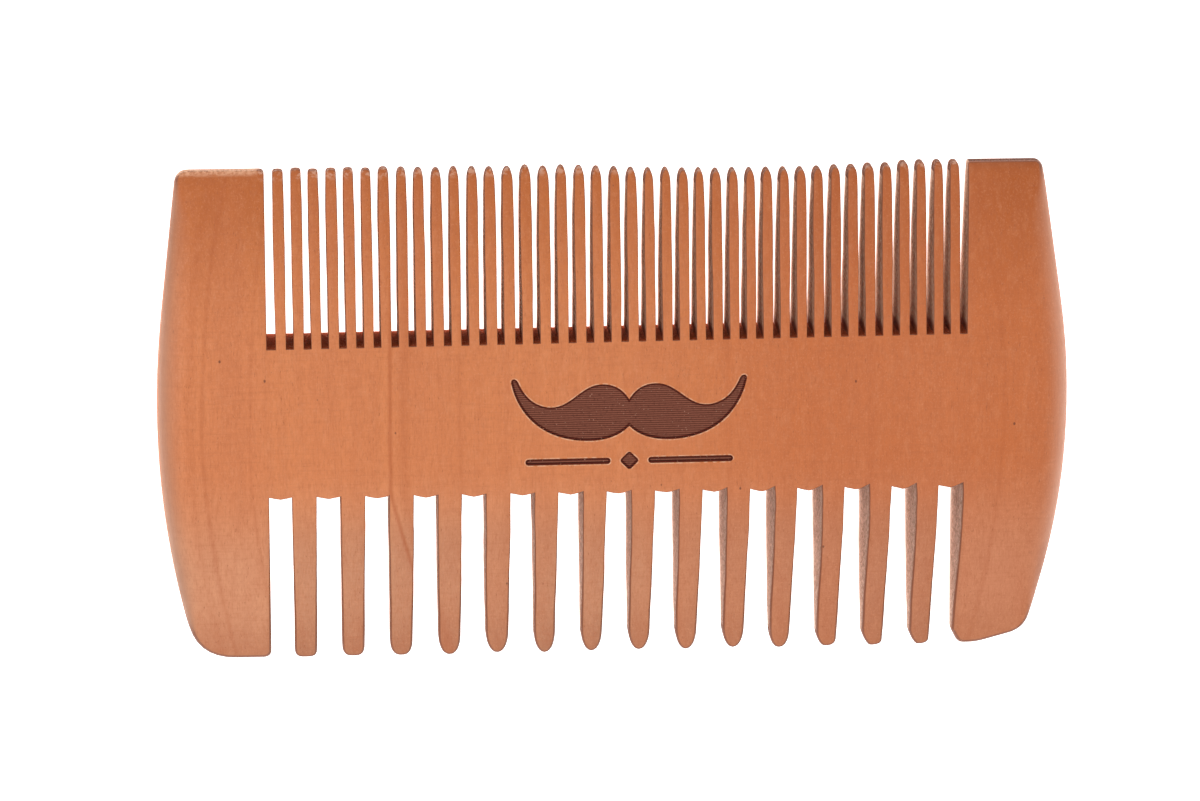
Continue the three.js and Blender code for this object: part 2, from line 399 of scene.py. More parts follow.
def outline_points():
    """The whole outline as (point, kind); kind tells what the wall after the point is.

    The sides' points keep clear of the corners, so that those can be rounded.
    """
    rng = random.Random(SEED)
    heights = [blend(-HALF_WIDTH, HALF_WIDTH, i / SIDE_POINTS) for i in range(1, SIDE_POINTS)]
    left_clear = OUTER_CORNER["low left"] - HALF_WIDTH
    right_clear = LOW_RIGHT_Y + 2.5, HALF_WIDTH - 3
    left_side = [(-side_x(y, LEFT_RADIUS), y, 0) for y in reversed(heights)]
    right_side = [(side_x(y, RIGHT_RADIUS), y, 0) for y in heights]
    seam = (-side_x(SIDE_STRAIGHT, LEFT_RADIUS), SIDE_STRAIGHT, 0)
    corner_x = {
        "top left": -side_x(HALF_WIDTH, LEFT_RADIUS),
        "low left": -side_x(-HALF_WIDTH, LEFT_RADIUS),
        "low right": side_x(LOW_RIGHT_Y, RIGHT_RADIUS),
        "top right": side_x(HALF_WIDTH, RIGHT_RADIUS),
    }
    ends = {(name, row): field_corner(end_x, level_y)
            for name, end_x in (("left", left_end_x), ("right", right_end_x))
            for row, level_y in (("top", top_y), ("fine", fine_root_y),
                                 ("coarse", coarse_root_y), ("bottom", bottom_y))}

    left_low = rounded([
        seam,
        *[p for p in left_side if left_clear < p[1] < SIDE_STRAIGHT],
        (corner_x["low left"], bottom_y(corner_x["low left"]), OUTER_CORNER["low left"]),
        (*ends["left", "bottom"], INNER_CORNER["low left"]),
        (*ends["left", "coarse"], 0),
    ])
    right_inner = ends["right", "bottom"]
    right = rounded([
        (*ends["right", "coarse"], 0),
        (right_inner.x, right_inner.y + RIGHT_BEVEL_RISE, RIGHT_BEVEL_CORNER),
        (right_inner.x + RIGHT_BEVEL_RUN, right_inner.y, RIGHT_BEVEL_CORNER),
        (RIGHT_BEND_X, bottom_y(RIGHT_BEND_X), RIGHT_BEND),
        (corner_x["low right"], LOW_RIGHT_Y, OUTER_CORNER["low right"]),
        *[p for p in right_side if right_clear[0] < p[1] < right_clear[1]],
        (corner_x["top right"], top_y(corner_x["top right"]), OUTER_CORNER["top right"]),
        (*ends["right", "top"], INNER_CORNER["top right"]),
        (ends["right", "fine"].x + RIGHT_SET_BACK, ends["right", "fine"].y, 0),
    ])
    left_top = rounded([
        (*ends["left", "fine"], 0),
        (*ends["left", "top"], INNER_CORNER["top left"]),
        (corner_x["top left"], top_y(corner_x["top left"]), OUTER_CORNER["top left"]),
        seam,
    ])

    coarse = tooth_row(COARSE_TEETH, "coarse", -1, coarse_root_y, rng)
    fine = tooth_row(FINE_TEETH, "fine", 1, fine_root_y, rng)
    fine.reverse()
    made = guard_points(left_low)
    made += slots(coarse, ends["left", "coarse"], ends["right", "coarse"], "coarse", rng)
    made += guard_points(right)
    made += slots(fine, right[-1], ends["left", "fine"], "fine", rng)
    made += guard_points(left_top)
    return made


def guard_points(corners):
    """A guard's part of the outline, without its last point."""
    points = resampled(corners, SIDE_STEP)[:-1]
    kinds = []
    for point in points:
        right_wall_x = right_end_x(point.y) + (RIGHT_SET_BACK if point.y > 0 else 0.0)
        inner = left_end_x(point.y) - ON_WALL < point.x < right_wall_x + ON_WALL
        slot_wall = FINE_WALL if point.y > 0 else COARSE_WALL
        outer_wall = END_WALL if abs(point.y) > HALF_WIDTH - END_BAND else SIDE_WALL
        kinds.append(slot_wall if inner else outer_wall)
    return list(zip(points, kinds))


# ---- how far each edge is rounded ---------------------------------------------------------


def edge_round(point, kind):
    """How far the edge at an outline point is rounded, across the face and in depth.

    The outer sides are round in the middle and crisper at the corners, and the teeth get
    rounder towards their tips.
    """
    thick = half_thickness(point.x, point.y)
    if kind == END_WALL and point.y > 0:
        return TOP_END_ROUND, TOP_END_DEPTH * thick
    if kind in (SIDE_WALL, END_WALL):
        above = HALF_WIDTH - point.y
        below = point.y + HALF_WIDTH
        side = smooth_step(1.5, 7.0, above) * smooth_step(3.0, 9.0, below)
        depth = blend(*SIDE_DEPTH, side) * thick
        return blend(*SIDE_ROUND, side), min(depth, blend(*SIDE_DEPTH_MOST, side))
    if kind in (FINE_WALL, FINE_FLOOR):
        out = smooth_step(0.3, 1.0, (point.y - SPINE_HIGH.y) / (HALF_WIDTH - SPINE_HIGH.y))
        across = blend(*FINE_ROUND, out)
    elif kind in (COARSE_WALL, COARSE_FLOOR):
        out = smooth_step(0.1, 1.0, (SPINE_LOW.y - point.y) / (HALF_WIDTH + SPINE_LOW.y))
        across = blend(*COARSE_ROUND, out)
    else:
        across = FINE_NOSE_ROUND if point.y > 0 else COARSE_ROUND[1]
    return across, min(TOOTH_DEPTH * across, TOOTH_DEPTH_MOST * thick)


def draft(point, kind, normal):
    """How far a wall of the coarse row leans away from its slot, from the back to the front.

    Only walls that face left lean, mostly beside the roots of the teeth on the right.
    """
    if kind not in (COARSE_WALL, COARSE_FLOOR) or normal[0] > -0.5:
        return 0.0
    most = blend(*DRAFT, smooth_step(-5, 28, point.x)) * smooth_step(-12, -2, point.x)
    return most * smooth_step(-25, -13, point.y)


def smoothed(values, times):
    for _ in range(times):
        values = (np.roll(values, 1) + 2 * values + np.roll(values, -1)) / 4
    return values


# ---- mesh building -------------------------------------------------------------------------


class MeshParts:
    """Vertices and faces gathered for one mesh, in millimetres from the middle of the board."""

    def __init__(self):
        self.vertices = []
        self.faces = []
        self.materials = []

    def add_points(self, points):
        first = len(self.vertices)
        self.vertices.extend(points)
        return list(range(first, len(self.vertices)))

    def add_face(self, corners, material):
        self.faces.append(corners)
        self.materials.append(material)

    def bridge(self, lower, upper, materials):
        """Faces between two closed rings of equal length."""
        count = len(lower)
        for i in range(count):
            j = (i + 1) % count
            self.add_face((lower[i], lower[j], upper[j], upper[i]), materials[i])

    def fill(self, loops, extra, material, front):
        """Triangles inside the first loop of vertex numbers and outside the others."""
        flat = [self.vertices[i] for loop in loops for i in loop] + extra
        numbers = [i for loop in loops for i in loop] + self.add_points(extra)
        edges, start = [], 0
        for loop in loops:
            count = len(loop)
            edges += [(start + i, start + (i + 1) % count) for i in range(count)]
            start += count
        points = [Vector(p[:2]) for p in flat]
        out = delaunay_2d_cdt(points, edges, [], 0, 1e-6, True)
        places, _, triangles, origins = out[:4]
        if len(places) != len(points):
            raise RuntimeError("two outline points coincide")
        centres = np.array([sum((places[i] for i in t), Vector((0, 0))) / 3 for t in triangles])
        keep = inside(centres, [[flat_xy(self.vertices[i]) for i in loop] for loop in loops])
        for triangle, kept in zip(triangles, keep):
            if kept:
                corners = [numbers[origins[i][0]] for i in triangle]
                a, b, c = (Vector(self.vertices[i][:2]) for i in corners)
                upward = (b - a).cross(c - a) > 0
                if upward != front:
                    corners.reverse()
                self.add_face(tuple(corners), material)


def flat_xy(vertex):
    return vertex[0], vertex[1]


def inside(points, loops):
    """For each point, whether an odd number of loop crossings lies to its right."""
    odd = np.zeros(len(points), bool)
    for loop in loops:
        ends = np.array(loop)
        for (x0, y0), (x1, y1) in zip(ends, np.roll(ends, -1, axis=0)):
            if y0 == y1:
                continue
            spans = (y0 > points[:, 1]) != (y1 > points[:, 1])
            cross = x0 + (points[:, 1] - y0) * (x1 - x0) / (y1 - y0)
            odd ^= spans & (points[:, 0] < cross)
    return odd


def outward_normals(points):
    """Outward normals of a counterclockwise loop, lengthened at corners to keep an offset."""
    ahead = np.roll(points, -1, axis=0) - points
    ahead /= np.linalg.norm(ahead, axis=1, keepdims=True)
    after = np.stack([ahead[:, 1], -ahead[:, 0]], axis=1)
    before = np.roll(after, 1, axis=0)
    normal = after + before
    normal /= np.linalg.norm(normal, axis=1, keepdims=True)
    return normal / np.maximum((normal * after).sum(axis=1, keepdims=True), 0.5)


def face_points(loop, holes):
    """Points on a grid over the guards and the spine, clear of every loop."""
    xs = np.arange(-HALF_LENGTH, HALF_LENGTH, FACE_STEP)
    ys = np.arange(-HALF_WIDTH, HALF_WIDTH, FACE_STEP)
    grid = np.array([(x, y) for x in xs for y in ys])
    wide = (grid[:, 0] < SPINE_LOW.x) | (grid[:, 0] > SPINE_HIGH.x) | (
        (grid[:, 1] > SPINE_LOW.y) & (grid[:, 1] < SPINE_HIGH.y))
    grid = grid[wide]
    grid = grid[inside(grid, [loop, *holes])]
    rims = np.concatenate([np.array(loop), *[np.array(hole) for hole in holes]])
    clear = [np.min(np.hypot(*(rims - p).T)) > FACE_STEP * 0.5 for p in grid]
    return grid[np.array(clear)]


# ---- the engraving ---------------------------------------------------------------------------

ENGRAVING_CENTRE = Vector((1.4, 0.9))
ENGRAVING_SCALE = 1.15                    # of the moustache, bars and diamond drawn below
ENGRAVING_DEPTH = 0.22
SCAN_PITCH = 0.24                         # distance between two scan lines of the laser
LIP_WIDTH = 0.13
LIP_HEIGHT = 0.015
RIM_WIDTH = 0.24
BAR_INNER, BAR_OUTER, BAR_HALF, BAR_Y = 2.1, 9.6, 0.3, -4.9
DIAMOND_HALF = 0.95
DIAMOND_CORNER = 0.3

# One half of the moustache: Bezier stretches of (knot, handle, handle, knot).
MOUSTACHE_HALF = [
    ((0.0, -1.5), (1.5, -3.1), (4.1, -3.1), (6.1, -2.6)),
    ((6.1, -2.6), (8.9, -1.9), (10.7, 0.3), (11.2, 2.9)),
    ((11.2, 2.9), (11.25, 3.4), (10.75, 3.4), (10.55, 3.0)),
    ((10.55, 3.0), (9.9, 1.4), (8.9, 0.6), (7.6, 0.45)),
    ((7.6, 0.45), (5.6, 0.3), (4.6, 2.5), (2.8, 2.6)),
    ((2.8, 2.6), (1.5, 2.7), (0.6, 2.1), (0.0, 1.1)),
]


def moustache():
    """The moustache's loop, from its left-right symmetric half."""
    half = []
    for knot, handle_a, handle_b, end in MOUSTACHE_HALF:
        stretch = [Vector(p) for p in (knot, handle_a, handle_b, end)]
        short = (stretch[0] - stretch[3]).length < 1
        half += interpolate_bezier(*stretch, 6 if short else 14)[:-1]
    half.append(Vector(MOUSTACHE_HALF[-1][3]))
    mirrored = [Vector((-p.x, p.y)) for p in reversed(half[1:-1])]
    return half + mirrored


def bar(x0, x1, y, half):
    """A thin bar with round ends."""
    made = []
    for x, turn in ((x1, -90), (x0, 90)):
        for i in range(9):
            angle = math.radians(turn + 180 * i / 8)
            made.append(Vector((x + half * math.cos(angle), y + half * math.sin(angle))))
    return made


def diamond(y, half):
    corners = [(half, y), (0, y + half), (-half, y), (0, y - half)]
    ring = [(*p, DIAMOND_CORNER) for p in corners]
    return rounded([ring[-1], *ring, ring[0]], steps=4)[1:-1]


def engraving_loops():
    loops = [
        moustache(),
        bar(BAR_INNER, BAR_OUTER, BAR_Y, BAR_HALF),
        bar(-BAR_OUTER, -BAR_INNER, BAR_Y, BAR_HALF),
        diamond(BAR_Y, DIAMOND_HALF),
    ]
    return [np.array([p * ENGRAVING_SCALE + ENGRAVING_CENTRE for p in loop]) for loop in loops]


def engrave(parts, loop):
    """A recess with a raised rim; returns its outermost ring, where the face begins."""
    normals = outward_normals(loop)
    profile = [  # outward offset, height above the face
        (LIP_WIDTH, 0.0),
        (LIP_WIDTH * 0.45, LIP_HEIGHT),
        (0.0, -0.03),
        (-RIM_WIDTH * 0.45, -ENGRAVING_DEPTH * 0.8),
        (-RIM_WIDTH, -ENGRAVING_DEPTH),
    ]
    rings = []
    for offset, height in profile:
        ring = loop + normals * offset
        rings.append(parts.add_points(
            [(x, y, half_thickness(x, y) + height) for x, y in ring]))
    bands = [LIP_MATERIAL, LIP_MATERIAL, RIM_MATERIAL, RIM_MATERIAL]
    for outer, inner, material in zip(rings, rings[1:], bands):
        parts.bridge(outer, inner, [material] * len(outer))
    parts.fill([rings[-1]], [], ENGRAVED_MATERIAL, True)
    return rings[0]


# ---- the comb ---------------------------------------------------------------------------------


def build_board():
    parts = MeshParts()
    outline = outline_points()
    points = np.array([p for p, _ in outline])
    kinds = [kind for _, kind in outline]
    rounding = np.array([edge_round(p, kind) for p, kind in outline])
    across = smoothed(rounding[:, 0], 3)
    depth = smoothed(rounding[:, 1], 3)
    normals = outward_normals(points)
    drafts = smoothed(np.array([draft(*at, n) for at, n in zip(outline, normals)]), 2)

    rings = {1: [], -1: []}
    for side in rings:
        for k in range(EDGE_RINGS):
            angle = math.pi / 2 * k / (EDGE_RINGS - 1)
            inset = (across * (1 - math.cos(angle)) + (drafts if side > 0 else 0))[:, None]
            drop = depth * (1 - math.sin(angle))
            ring = points - normals * inset
            heights = [half_thickness(x, y) for x, y in ring]
            rings[side].append(parts.add_points([
                (x, y, side * (h - d)) for (x, y), h, d in zip(ring, heights, drop)]))
    rounding_material = [FACE_MATERIAL] * len(outline)
    stack = rings[-1][::-1] + rings[1]
    for level, (lower, upper) in enumerate(zip(stack, stack[1:])):
        is_wall = level == EDGE_RINGS - 1
        materials = [WALL_MATERIALS[kind] for kind in kinds] if is_wall else rounding_material
        parts.bridge(lower, upper, materials)

    holes = [engrave(parts, loop) for loop in engraving_loops()]
    for side, own_holes in ((1, holes), (-1, [])):
        loop = rings[side][-1]
        loop_xy = [flat_xy(parts.vertices[i]) for i in loop]
        holes_xy = [[flat_xy(parts.vertices[i]) for i in hole] for hole in own_holes]
        grid = face_points(loop_xy, holes_xy)
        extra = [(x, y, side * half_thickness(x, y)) for x, y in grid]
        parts.fill([loop, *own_holes], extra, FACE_MATERIAL, side > 0)
    return parts


def make_object(name, parts, materials):
    mesh = bpy.data.meshes.new(name)
    vertices = [(x * MM, y * MM, (z + MIDDLE_Z) * MM) for x, y, z in parts.vertices]
    mesh.from_pydata(vertices, [], parts.faces)
    for material in materials:
        mesh.materials.append(material)
    mesh.polygons.foreach_set("material_index", parts.materials)
    mesh.shade_smooth()
    mesh.set_sharp_from_angle(angle=math.radians(SMOOTH_ANGLE))
    mesh.validate()
    thing = bpy.data.objects.new(name, mesh)
    bpy.context.scene.collection.objects.link(thing)
    return thing


# ---- materials -------------------------------------------------------------------------------


def srgb(red, green, blue):
    """A scene-linear colour from 0 to 255 display values."""
    made = []
    for value in (red, green, blue):
        value /= 255
        made.append(value / 12.92 if value <= 0.04045 else ((value + 0.055) / 1.055) ** 2.4)
    return (*made, 1.0)


class Shader:
    """A node material with short calls for the nodes that wood needs."""

    def __init__(self, name, roughness, specular=0.35):
        self.material = bpy.data.materials.new(name)
        self.material.use_nodes = True
        self.tree = self.material.node_tree
        self.surface = self.tree.nodes["Principled BSDF"]
        self.surface.inputs["Roughness"].default_value = roughness
        self.surface.inputs["Specular IOR Level"].default_value = specular
        place = self.tree.nodes.new("ShaderNodeTexCoord").outputs["Object"]
        self.place = self.scaled(place, (1 / MM,) * 3)

    def link(self, value, socket):
        if isinstance(value, bpy.types.NodeSocket):
            self.tree.links.new(value, socket)
        else:
            socket.default_value = value

    def scaled(self, vector, scale):
        node = self.tree.nodes.new("ShaderNodeMapping")
        node.inputs["Scale"].default_value = scale
        self.link(vector, node.inputs["Vector"])
        return node.outputs["Vector"]

    def noise(self, scale, detail=2.0, rough=0.5):
        """Noise with its own scale per millimetre along X, Y and Z."""
        node = self.tree.nodes.new("ShaderNodeTexNoise")
        node.inputs["Scale"].default_value = 1.0
        node.inputs["Detail"].default_value = detail
        node.inputs["Roughness"].default_value = rough
        self.link(self.scaled(self.place, scale), node.inputs["Vector"])
        return node.outputs["Fac"]

    def math(self, operation, a, b=0.0, c=0.0):
        node = self.tree.nodes.new("ShaderNodeMath")
        node.operation = operation
        for value, socket in zip((a, b, c), node.inputs):
            self.link(value, socket)
        return node.outputs["Value"]

    def ramp(self, value, low, high, to_low=0.0, to_high=1.0):
        """A smooth step from to_low at low to to_high at high; low may be above high."""
        node = self.tree.nodes.new("ShaderNodeMapRange")
        node.interpolation_type = "SMOOTHSTEP"
        for number, socket in zip((value, low, high, to_low, to_high), node.inputs):
            self.link(number, socket)
        return node.outputs["Result"]

    def mix(self, share, a, b):
        """The colour a where share is 0 and b where it is 1."""
        node = self.tree.nodes.new("ShaderNodeMix")
        node.data_type = "RGBA"
        self.link(share, node.inputs["Factor"])
        self.link(a, node.inputs[6])
        self.link(b, node.inputs[7])
        return node.outputs[2]

    def facing(self, name):
        """How far the surface faces along an axis of the board, from -1 to 1."""
        return self.axis(name, self.tree.nodes.new("ShaderNodeTexCoord").outputs["Normal"])

    def tint(self, colour, share, other, strength):
        """colour, mixed towards other by strength where share is 1."""
        return self.mix(self.math("MULTIPLY", share, strength), colour, other)

    def axis(self, name, place=None):
        node = self.tree.nodes.new("ShaderNodeSeparateXYZ")
        self.link(place or self.place, node.inputs["Vector"])
        return node.outputs[name]

    def bump(self, height, depth_mm, strength):
        node = self.tree.nodes.new("ShaderNodeBump")
        node.inputs["Distance"].default_value = depth_mm * MM
        node.inputs["Strength"].default_value = strength
        self.link(height, node.inputs["Height"])
        self.link(node.outputs["Normal"], self.surface.inputs["Normal"])

    def colour(self, value):
        self.link(value, self.surface.inputs["Base Color"])

    def roughness(self, value):
        self.link(value, self.surface.inputs["Roughness"])


# Growth lines that run the whole width of the board: X at the middle, bow (how far X moves,
# times the square of Y), how far they move to the right for each millimetre down the coarse
# teeth, half width, strength.
GROWTH_LINES = [
    (-24.6, 0.0012, 0.24, 0.4, 0.45),
    (-23.0, 0.0012, 0.20, 1.1, 0.2),
    (-45.2, 0.00432, 0.0, 0.45, 0.22),
    (-46.6, 0.00408, 0.0, 0.9, 0.12),
    (-40.0, 0.0036, 0.0, 0.3, 0.14),
    (-17.0, 0.0012, 0.0, 0.5, 0.14),
    (12.5, -0.00144, 0.0, 0.6, 0.12),
    (28.0, -0.0024, 0.0, 0.8, 0.12),
    (42.5, -0.0042, 0.0, 0.5, 0.16),
]


def wood_colour(s):
    """The colour of a planed and sanded face, and the noises for its sheen and relief."""
    x, y = s.axis("X"), s.axis("Y")
    # The broad tones: each has its colour at the left and at the right of the board. Across the
    # board they are partly the wood's own and partly painted light: the paler low part is a
    # painted sheen, and the darker top is painted shade.
    rightward = s.ramp(x, -4.0, 26.0)
    bottom = s.mix(rightward, srgb(190, 128, 93), srgb(188, 119, 83))
    low = s.mix(rightward, srgb(222, 159, 120), srgb(204, 132, 96))
    middle = s.mix(rightward, srgb(220, 132, 78), srgb(203, 109, 54))
    top = s.mix(rightward, srgb(185, 96, 30), srgb(176, 87, 26))
    colour = s.mix(s.ramp(y, -4.0, -18.0), middle, low)
    colour = s.mix(s.ramp(y, -20.0, -HALF_WIDTH), colour, bottom)
    colour = s.mix(s.ramp(y, 8.0, HALF_WIDTH), colour, top)
    # Painted shade: the faces of the coarse teeth are greyer where they tilt away from the light.
    field = s.ramp(s.math("ABSOLUTE", x), HALF_FIELD + 0.4, HALF_FIELD - 0.4)
    coarse = s.math("MULTIPLY", field, s.ramp(y, -8.0, -14.0))
    colour = s.tint(colour, coarse, srgb(156, 104, 78), 0.36)

    # Clouds and streaks, from the widest to the narrowest.
    broad = s.ramp(s.noise((0.13, 0.012, 0.13), 3), 0.35, 0.68)
    colour = s.tint(colour, broad, srgb(200, 112, 68), 0.28)
    cloud = s.ramp(s.noise((0.06, 0.05, 0.06), 3), 0.3, 0.7)
    colour = s.tint(colour, cloud, srgb(216, 128, 78), 0.25)
    streaks = s.ramp(s.noise((0.8, 0.04, 0.8), 4, 0.6), 0.3, 0.7)
    colour = s.tint(colour, streaks, srgb(176, 92, 50), 0.16)
    mottle = s.ramp(s.noise((1.5, 0.8, 1.5), 4, 0.7), 0.3, 0.7)
    colour = s.tint(colour, mottle, srgb(172, 90, 50), 0.17)
    pale = s.ramp(s.noise((1.2, 0.5, 1.2), 3, 0.7), 0.45, 0.75)
    colour = s.tint(colour, pale, srgb(232, 160, 116), 0.14)

    # Fibres and flecks along the teeth, and sanding marks across them.
    fibres = s.noise((6.0, 0.8, 6.0), 3, 0.65)
    colour = s.mix(s.ramp(fibres, 0.42, 0.8, 0.0, 0.36), colour, srgb(172, 92, 52))
    grit = s.noise((5.0, 4.0, 5.0), 2, 0.8)
    colour = s.mix(s.ramp(grit, 0.5, 0.75, 0.0, 0.3), colour, srgb(226, 152, 110))
    flecks = s.ramp(s.noise((6.0, 1.4, 6.0), 2, 0.7), 0.64, 0.76)
    colour = s.tint(colour, flecks, srgb(146, 74, 40), 0.5)
    sanding = s.noise((0.3, 3.6, 0.3), 3, 0.7)
    colour = s.mix(s.ramp(sanding, 0.45, 0.8, 0.0, 0.26), colour, srgb(178, 98, 58))

    wander = s.math("MULTIPLY_ADD", s.noise((0.05, 0.035, 0.05), 2), 1.5, -0.75)
    below = s.math("MAXIMUM", s.math("SUBTRACT", COARSE_FLAT - 2, y), 0.0)
    for place, bow, slant, half, strength in GROWTH_LINES:
        bend = s.math("MULTIPLY", s.math("MULTIPLY", y, y), bow)
        bend = s.math("MULTIPLY_ADD", below, slant, bend)
        centre = s.math("ADD", s.math("ADD", bend, place), wander)
        away = s.math("ABSOLUTE", s.math("SUBTRACT", x, centre))
        colour = s.mix(s.ramp(away, half, 0.0, 0.0, strength), colour, srgb(170, 78, 26))

    # A few dark spots.
    spots = s.tree.nodes.new("ShaderNodeTexVoronoi")
    spots.inputs["Scale"].default_value = 1.0
    s.link(s.scaled(s.place, (0.22, 0.16, 0.22)), spots.inputs["Vector"])
    spot = s.ramp(spots.outputs["Distance"], 0.035, 0.02, 0.0, 0.75)
    colour = s.mix(spot, colour, srgb(96, 48, 28))
    return colour, fibres, sanding, flecks


def wood_material():
    """The faces and every rounded edge: sanded wood, with painted shade on the left and steep
    edges and painted light on the right edge, the fine tips and the top of the left guard.
    """
    s = Shader("comb_face_wood", 0.5)
    colour, fibres, sanding, flecks = wood_colour(s)
    x, y, sideways = s.axis("X"), s.axis("Y"), s.facing("X")
    # Painted shade darkens the rounded left edge, and a painted glow lightens the rounded right
    # one.
    at_left = s.ramp(x, -HALF_FIELD - 2, -HALF_FIELD - 5)
    at_right = s.ramp(x, HALF_FIELD + 2, HALF_FIELD + 5)
    left_edge_shade = s.math("MULTIPLY", s.ramp(sideways, -0.04, -0.8, 0.0, 0.65), at_left)
    pale = s.math("MULTIPLY", s.ramp(sideways, 0.0, 0.85, 0.0, 0.42), at_right)
    pale = s.math("MULTIPLY", pale, s.ramp(y, -24.0, -12.0, 0.15, 1.0))
    # Little of either reaches the upright part of the side, which shows the wood again.
    round_part = s.ramp(s.math("ABSOLUTE", sideways), 1.0, 0.85, 0.2, 1.0)
    left_edge_shade = s.math("MULTIPLY", left_edge_shade, round_part)
    pale = s.math("MULTIPLY", pale, round_part)
    colour = s.mix(left_edge_shade, colour, srgb(154, 118, 99))
    colour = s.mix(pale, colour, srgb(222, 174, 150))
    # Painted shade: the other rounded edges are darker where they turn away from the face.
    upright = s.ramp(s.math("ABSOLUTE", s.facing("Y")), 0.35, 0.15)
    sides = s.math("MULTIPLY", s.math("ADD", at_left, at_right), upright)
    painted_edge_shade = s.ramp(s.math("ABSOLUTE", s.facing("Z")), 0.97, 0.8, 0.0, 0.85)
    colour = s.mix(s.math("MULTIPLY", painted_edge_shade, s.math("SUBTRACT", 1.0, sides)),
                   colour, srgb(128, 74, 50))
    # Painted highlights: pale patches on the very ends of the fine teeth.
    tip = s.math("MULTIPLY", s.ramp(y, HALF_WIDTH - 1.4, HALF_WIDTH - 0.6),
                 s.ramp(s.math("ABSOLUTE", x), HALF_FIELD + 0.4, HALF_FIELD))
    tip_highlight_patches = s.ramp(s.noise((1.8, 2.0, 1.8), 2, 0.6), 0.45, 0.62)
    colour = s.mix(s.math("MULTIPLY", s.math("MULTIPLY", tip, tip_highlight_patches), 0.4),
                   colour, srgb(236, 196, 172))
    # Painted sheen: the top of the left guard is pale where it meets its end.
    top_sheen = s.math("MULTIPLY", s.ramp(y, HALF_WIDTH - 0.8, HALF_WIDTH - 0.25),
                    s.ramp(x, -HALF_FIELD + 0.1, -HALF_FIELD - 0.6))
    top_sheen_patches = s.ramp(s.noise((2.4, 3.0, 2.4), 3, 0.7), 0.35, 0.6, 0.2, 0.75)
    colour = s.mix(s.math("MULTIPLY", top_sheen, top_sheen_patches), colour, srgb(236, 180, 144))
    s.colour(colour)
    s.roughness(s.ramp(fibres, 0.3, 0.7, 0.42, 0.58))
    height = s.math("ADD", s.math("MULTIPLY", fibres, 0.7), s.math("MULTIPLY", sanding, 0.6))
    s.bump(s.math("SUBTRACT", height, s.math("MULTIPLY", flecks, 0.8)), 0.03, 0.7)
    return s.material


def sawn_material():
    """The walls of the slots, left rough and greyish by the saw."""
    s = Shader("comb_sawn_wood", 0.85, 0.2)
    y, z = s.axis("Y"), s.axis("Z")
    # How far the taper has brought each face in here, in millimetres; the extra form of the
    # fine tips is left out of it.
    fine_fall = s.math("MULTIPLY", s.math("MAXIMUM", s.math("SUBTRACT", y, FINE_FLAT), 0.0),
                       (MIDDLE_Z - FINE_TIP_HALF) / (HALF_WIDTH - FINE_FLAT))
    out = s.math("MAXIMUM", s.math("SUBTRACT", COARSE_FLAT, y), 0.0)
    share = s.math("DIVIDE", out, HALF_WIDTH + COARSE_FLAT)
    curved = s.math("POWER", share, COARSE_CURVE)
    coarse_fall = s.math("MULTIPLY", curved, MIDDLE_Z - COARSE_TIP_HALF)
    fall = s.math("ADD", fine_fall, coarse_fall)
    over_back = s.math("SUBTRACT", z, fall)
    under_front = s.math("SUBTRACT", s.math("SUBTRACT", 2 * MIDDLE_Z, z), fall)

    grain = s.ramp(s.noise((3.0, 2.0, 3.0), 4, 0.75), 0.33, 0.65)
    coarse = s.mix(grain, srgb(238, 202, 182), srgb(172, 132, 110))
    # Painted light: the fine walls are paler towards their roots, to offset the shade deep in the
    # narrow slots.
    fine_root = s.mix(grain, srgb(255, 228, 204), srgb(216, 158, 124))
    fine_tip = s.mix(grain, srgb(248, 212, 184), srgb(178, 128, 98))
    fine = s.mix(s.ramp(y, SPINE_HIGH.y + 3, HALF_WIDTH - 4), fine_root, fine_tip)
    colour = s.mix(s.ramp(y, 0.0, 0.1), coarse, fine)
    marks = s.noise((1.0, 6.0, 1.0), 2)
    colour = s.mix(s.ramp(marks, 0.45, 0.8, 0.0, 0.4), colour, srgb(150, 110, 90))
    flakes = s.ramp(s.noise((4.0, 4.0, 4.0), 2, 0.8), 0.6, 0.72)
    colour = s.tint(colour, flakes, srgb(255, 236, 220), 0.75)
    # The saw has scorched the walls of the fine slots just above their floors.
    root = s.math("MULTIPLY_ADD", s.axis("X"), fine_root_y(1) - fine_root_y(0), fine_root_y(0))
    above = s.math("SUBTRACT", y, root)
    scorch = s.math("MULTIPLY", s.ramp(above, 1.4, 0.5, 0.0, 0.9), s.ramp(y, 0.0, 0.1))
    colour = s.mix(scorch, colour, srgb(156, 76, 42))
    # The walls are pale near the back, where the table lights them, but not at the tips.
    lit = s.math("MULTIPLY", s.ramp(over_back, 1.5, 0.3, 0.0, 0.6),
                 s.ramp(s.math("ABSOLUTE", y), HALF_WIDTH - 0.8, HALF_WIDTH - 3.0))
    colour = s.mix(lit, colour, srgb(255, 240, 226))
    # Painted shade: the walls are darker just under the front face, along the shaded side of its
    # rounded edge.
    colour = s.mix(s.ramp(under_front, 1.0, 0.3, 0.0, 0.6), colour, srgb(150, 80, 50))
    s.colour(colour)
    s.bump(s.math("ADD", grain, s.math("MULTIPLY", marks, 0.8)), 0.06, 0.8)
    return s.material


def scorched_material():
    """The floors of the fine slots, burnt dark by the saw."""
    s = Shader("comb_scorched_wood", 0.9, 0.15)
    patches = s.noise((2.2, 2.2, 1.6), 4, 0.7)
    colour = s.mix(patches, srgb(152, 64, 28), srgb(198, 100, 54))
    specks = s.ramp(s.noise((5.0, 5.0, 5.0), 2), 0.62, 0.72)
    colour = s.tint(colour, specks, srgb(226, 176, 146), 0.6)
    s.colour(colour)
    s.bump(patches, 0.1, 0.9)
    return s.material


